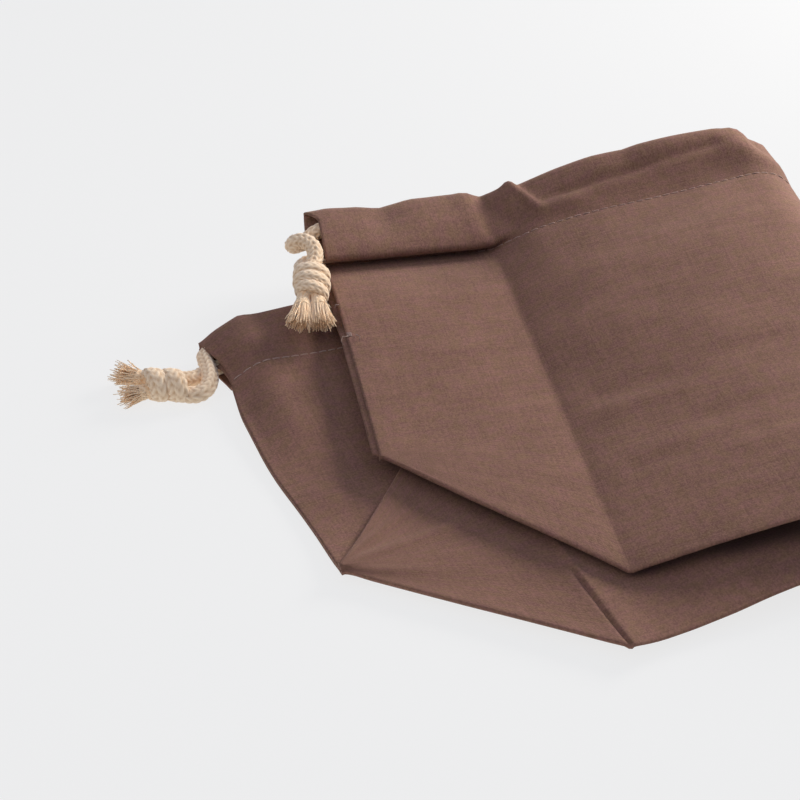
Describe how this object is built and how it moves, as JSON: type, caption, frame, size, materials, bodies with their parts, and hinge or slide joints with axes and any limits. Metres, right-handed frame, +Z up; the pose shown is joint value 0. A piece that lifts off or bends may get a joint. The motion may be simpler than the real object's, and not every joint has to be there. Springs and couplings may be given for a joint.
{
  "type": "drawstring lunch bag",
  "caption": "Box-bottomed cloth bag with a drawstring casing round its mouth and a knotted cord at each side, pressed flat and folded in half across its width.",
  "frame": {"origin": "on the table under the middle of the cloth's box, cords left out", "axes": "+X towards the roll of the half fold, +Y from the bottom edge to the mouth, +Z up"},
  "size_m": [0.2186, 0.169, 0.0324],
  "materials": {
    "cloth": "plain-woven linen and cotton, matt",
    "cord": "knitted cotton, matt"
  },
  "bodies": {
    "root": {"bag_cloth": "cloth", "cord_left": "cord", "cord_right": "cord", "knot_left": "cord", "tail_left_front": "cord", "tail_left_back": "cord", "knot_right": "cord", "tail_right_front": "cord", "tail_right_back": "cord"}
  },
  "joints": []
}
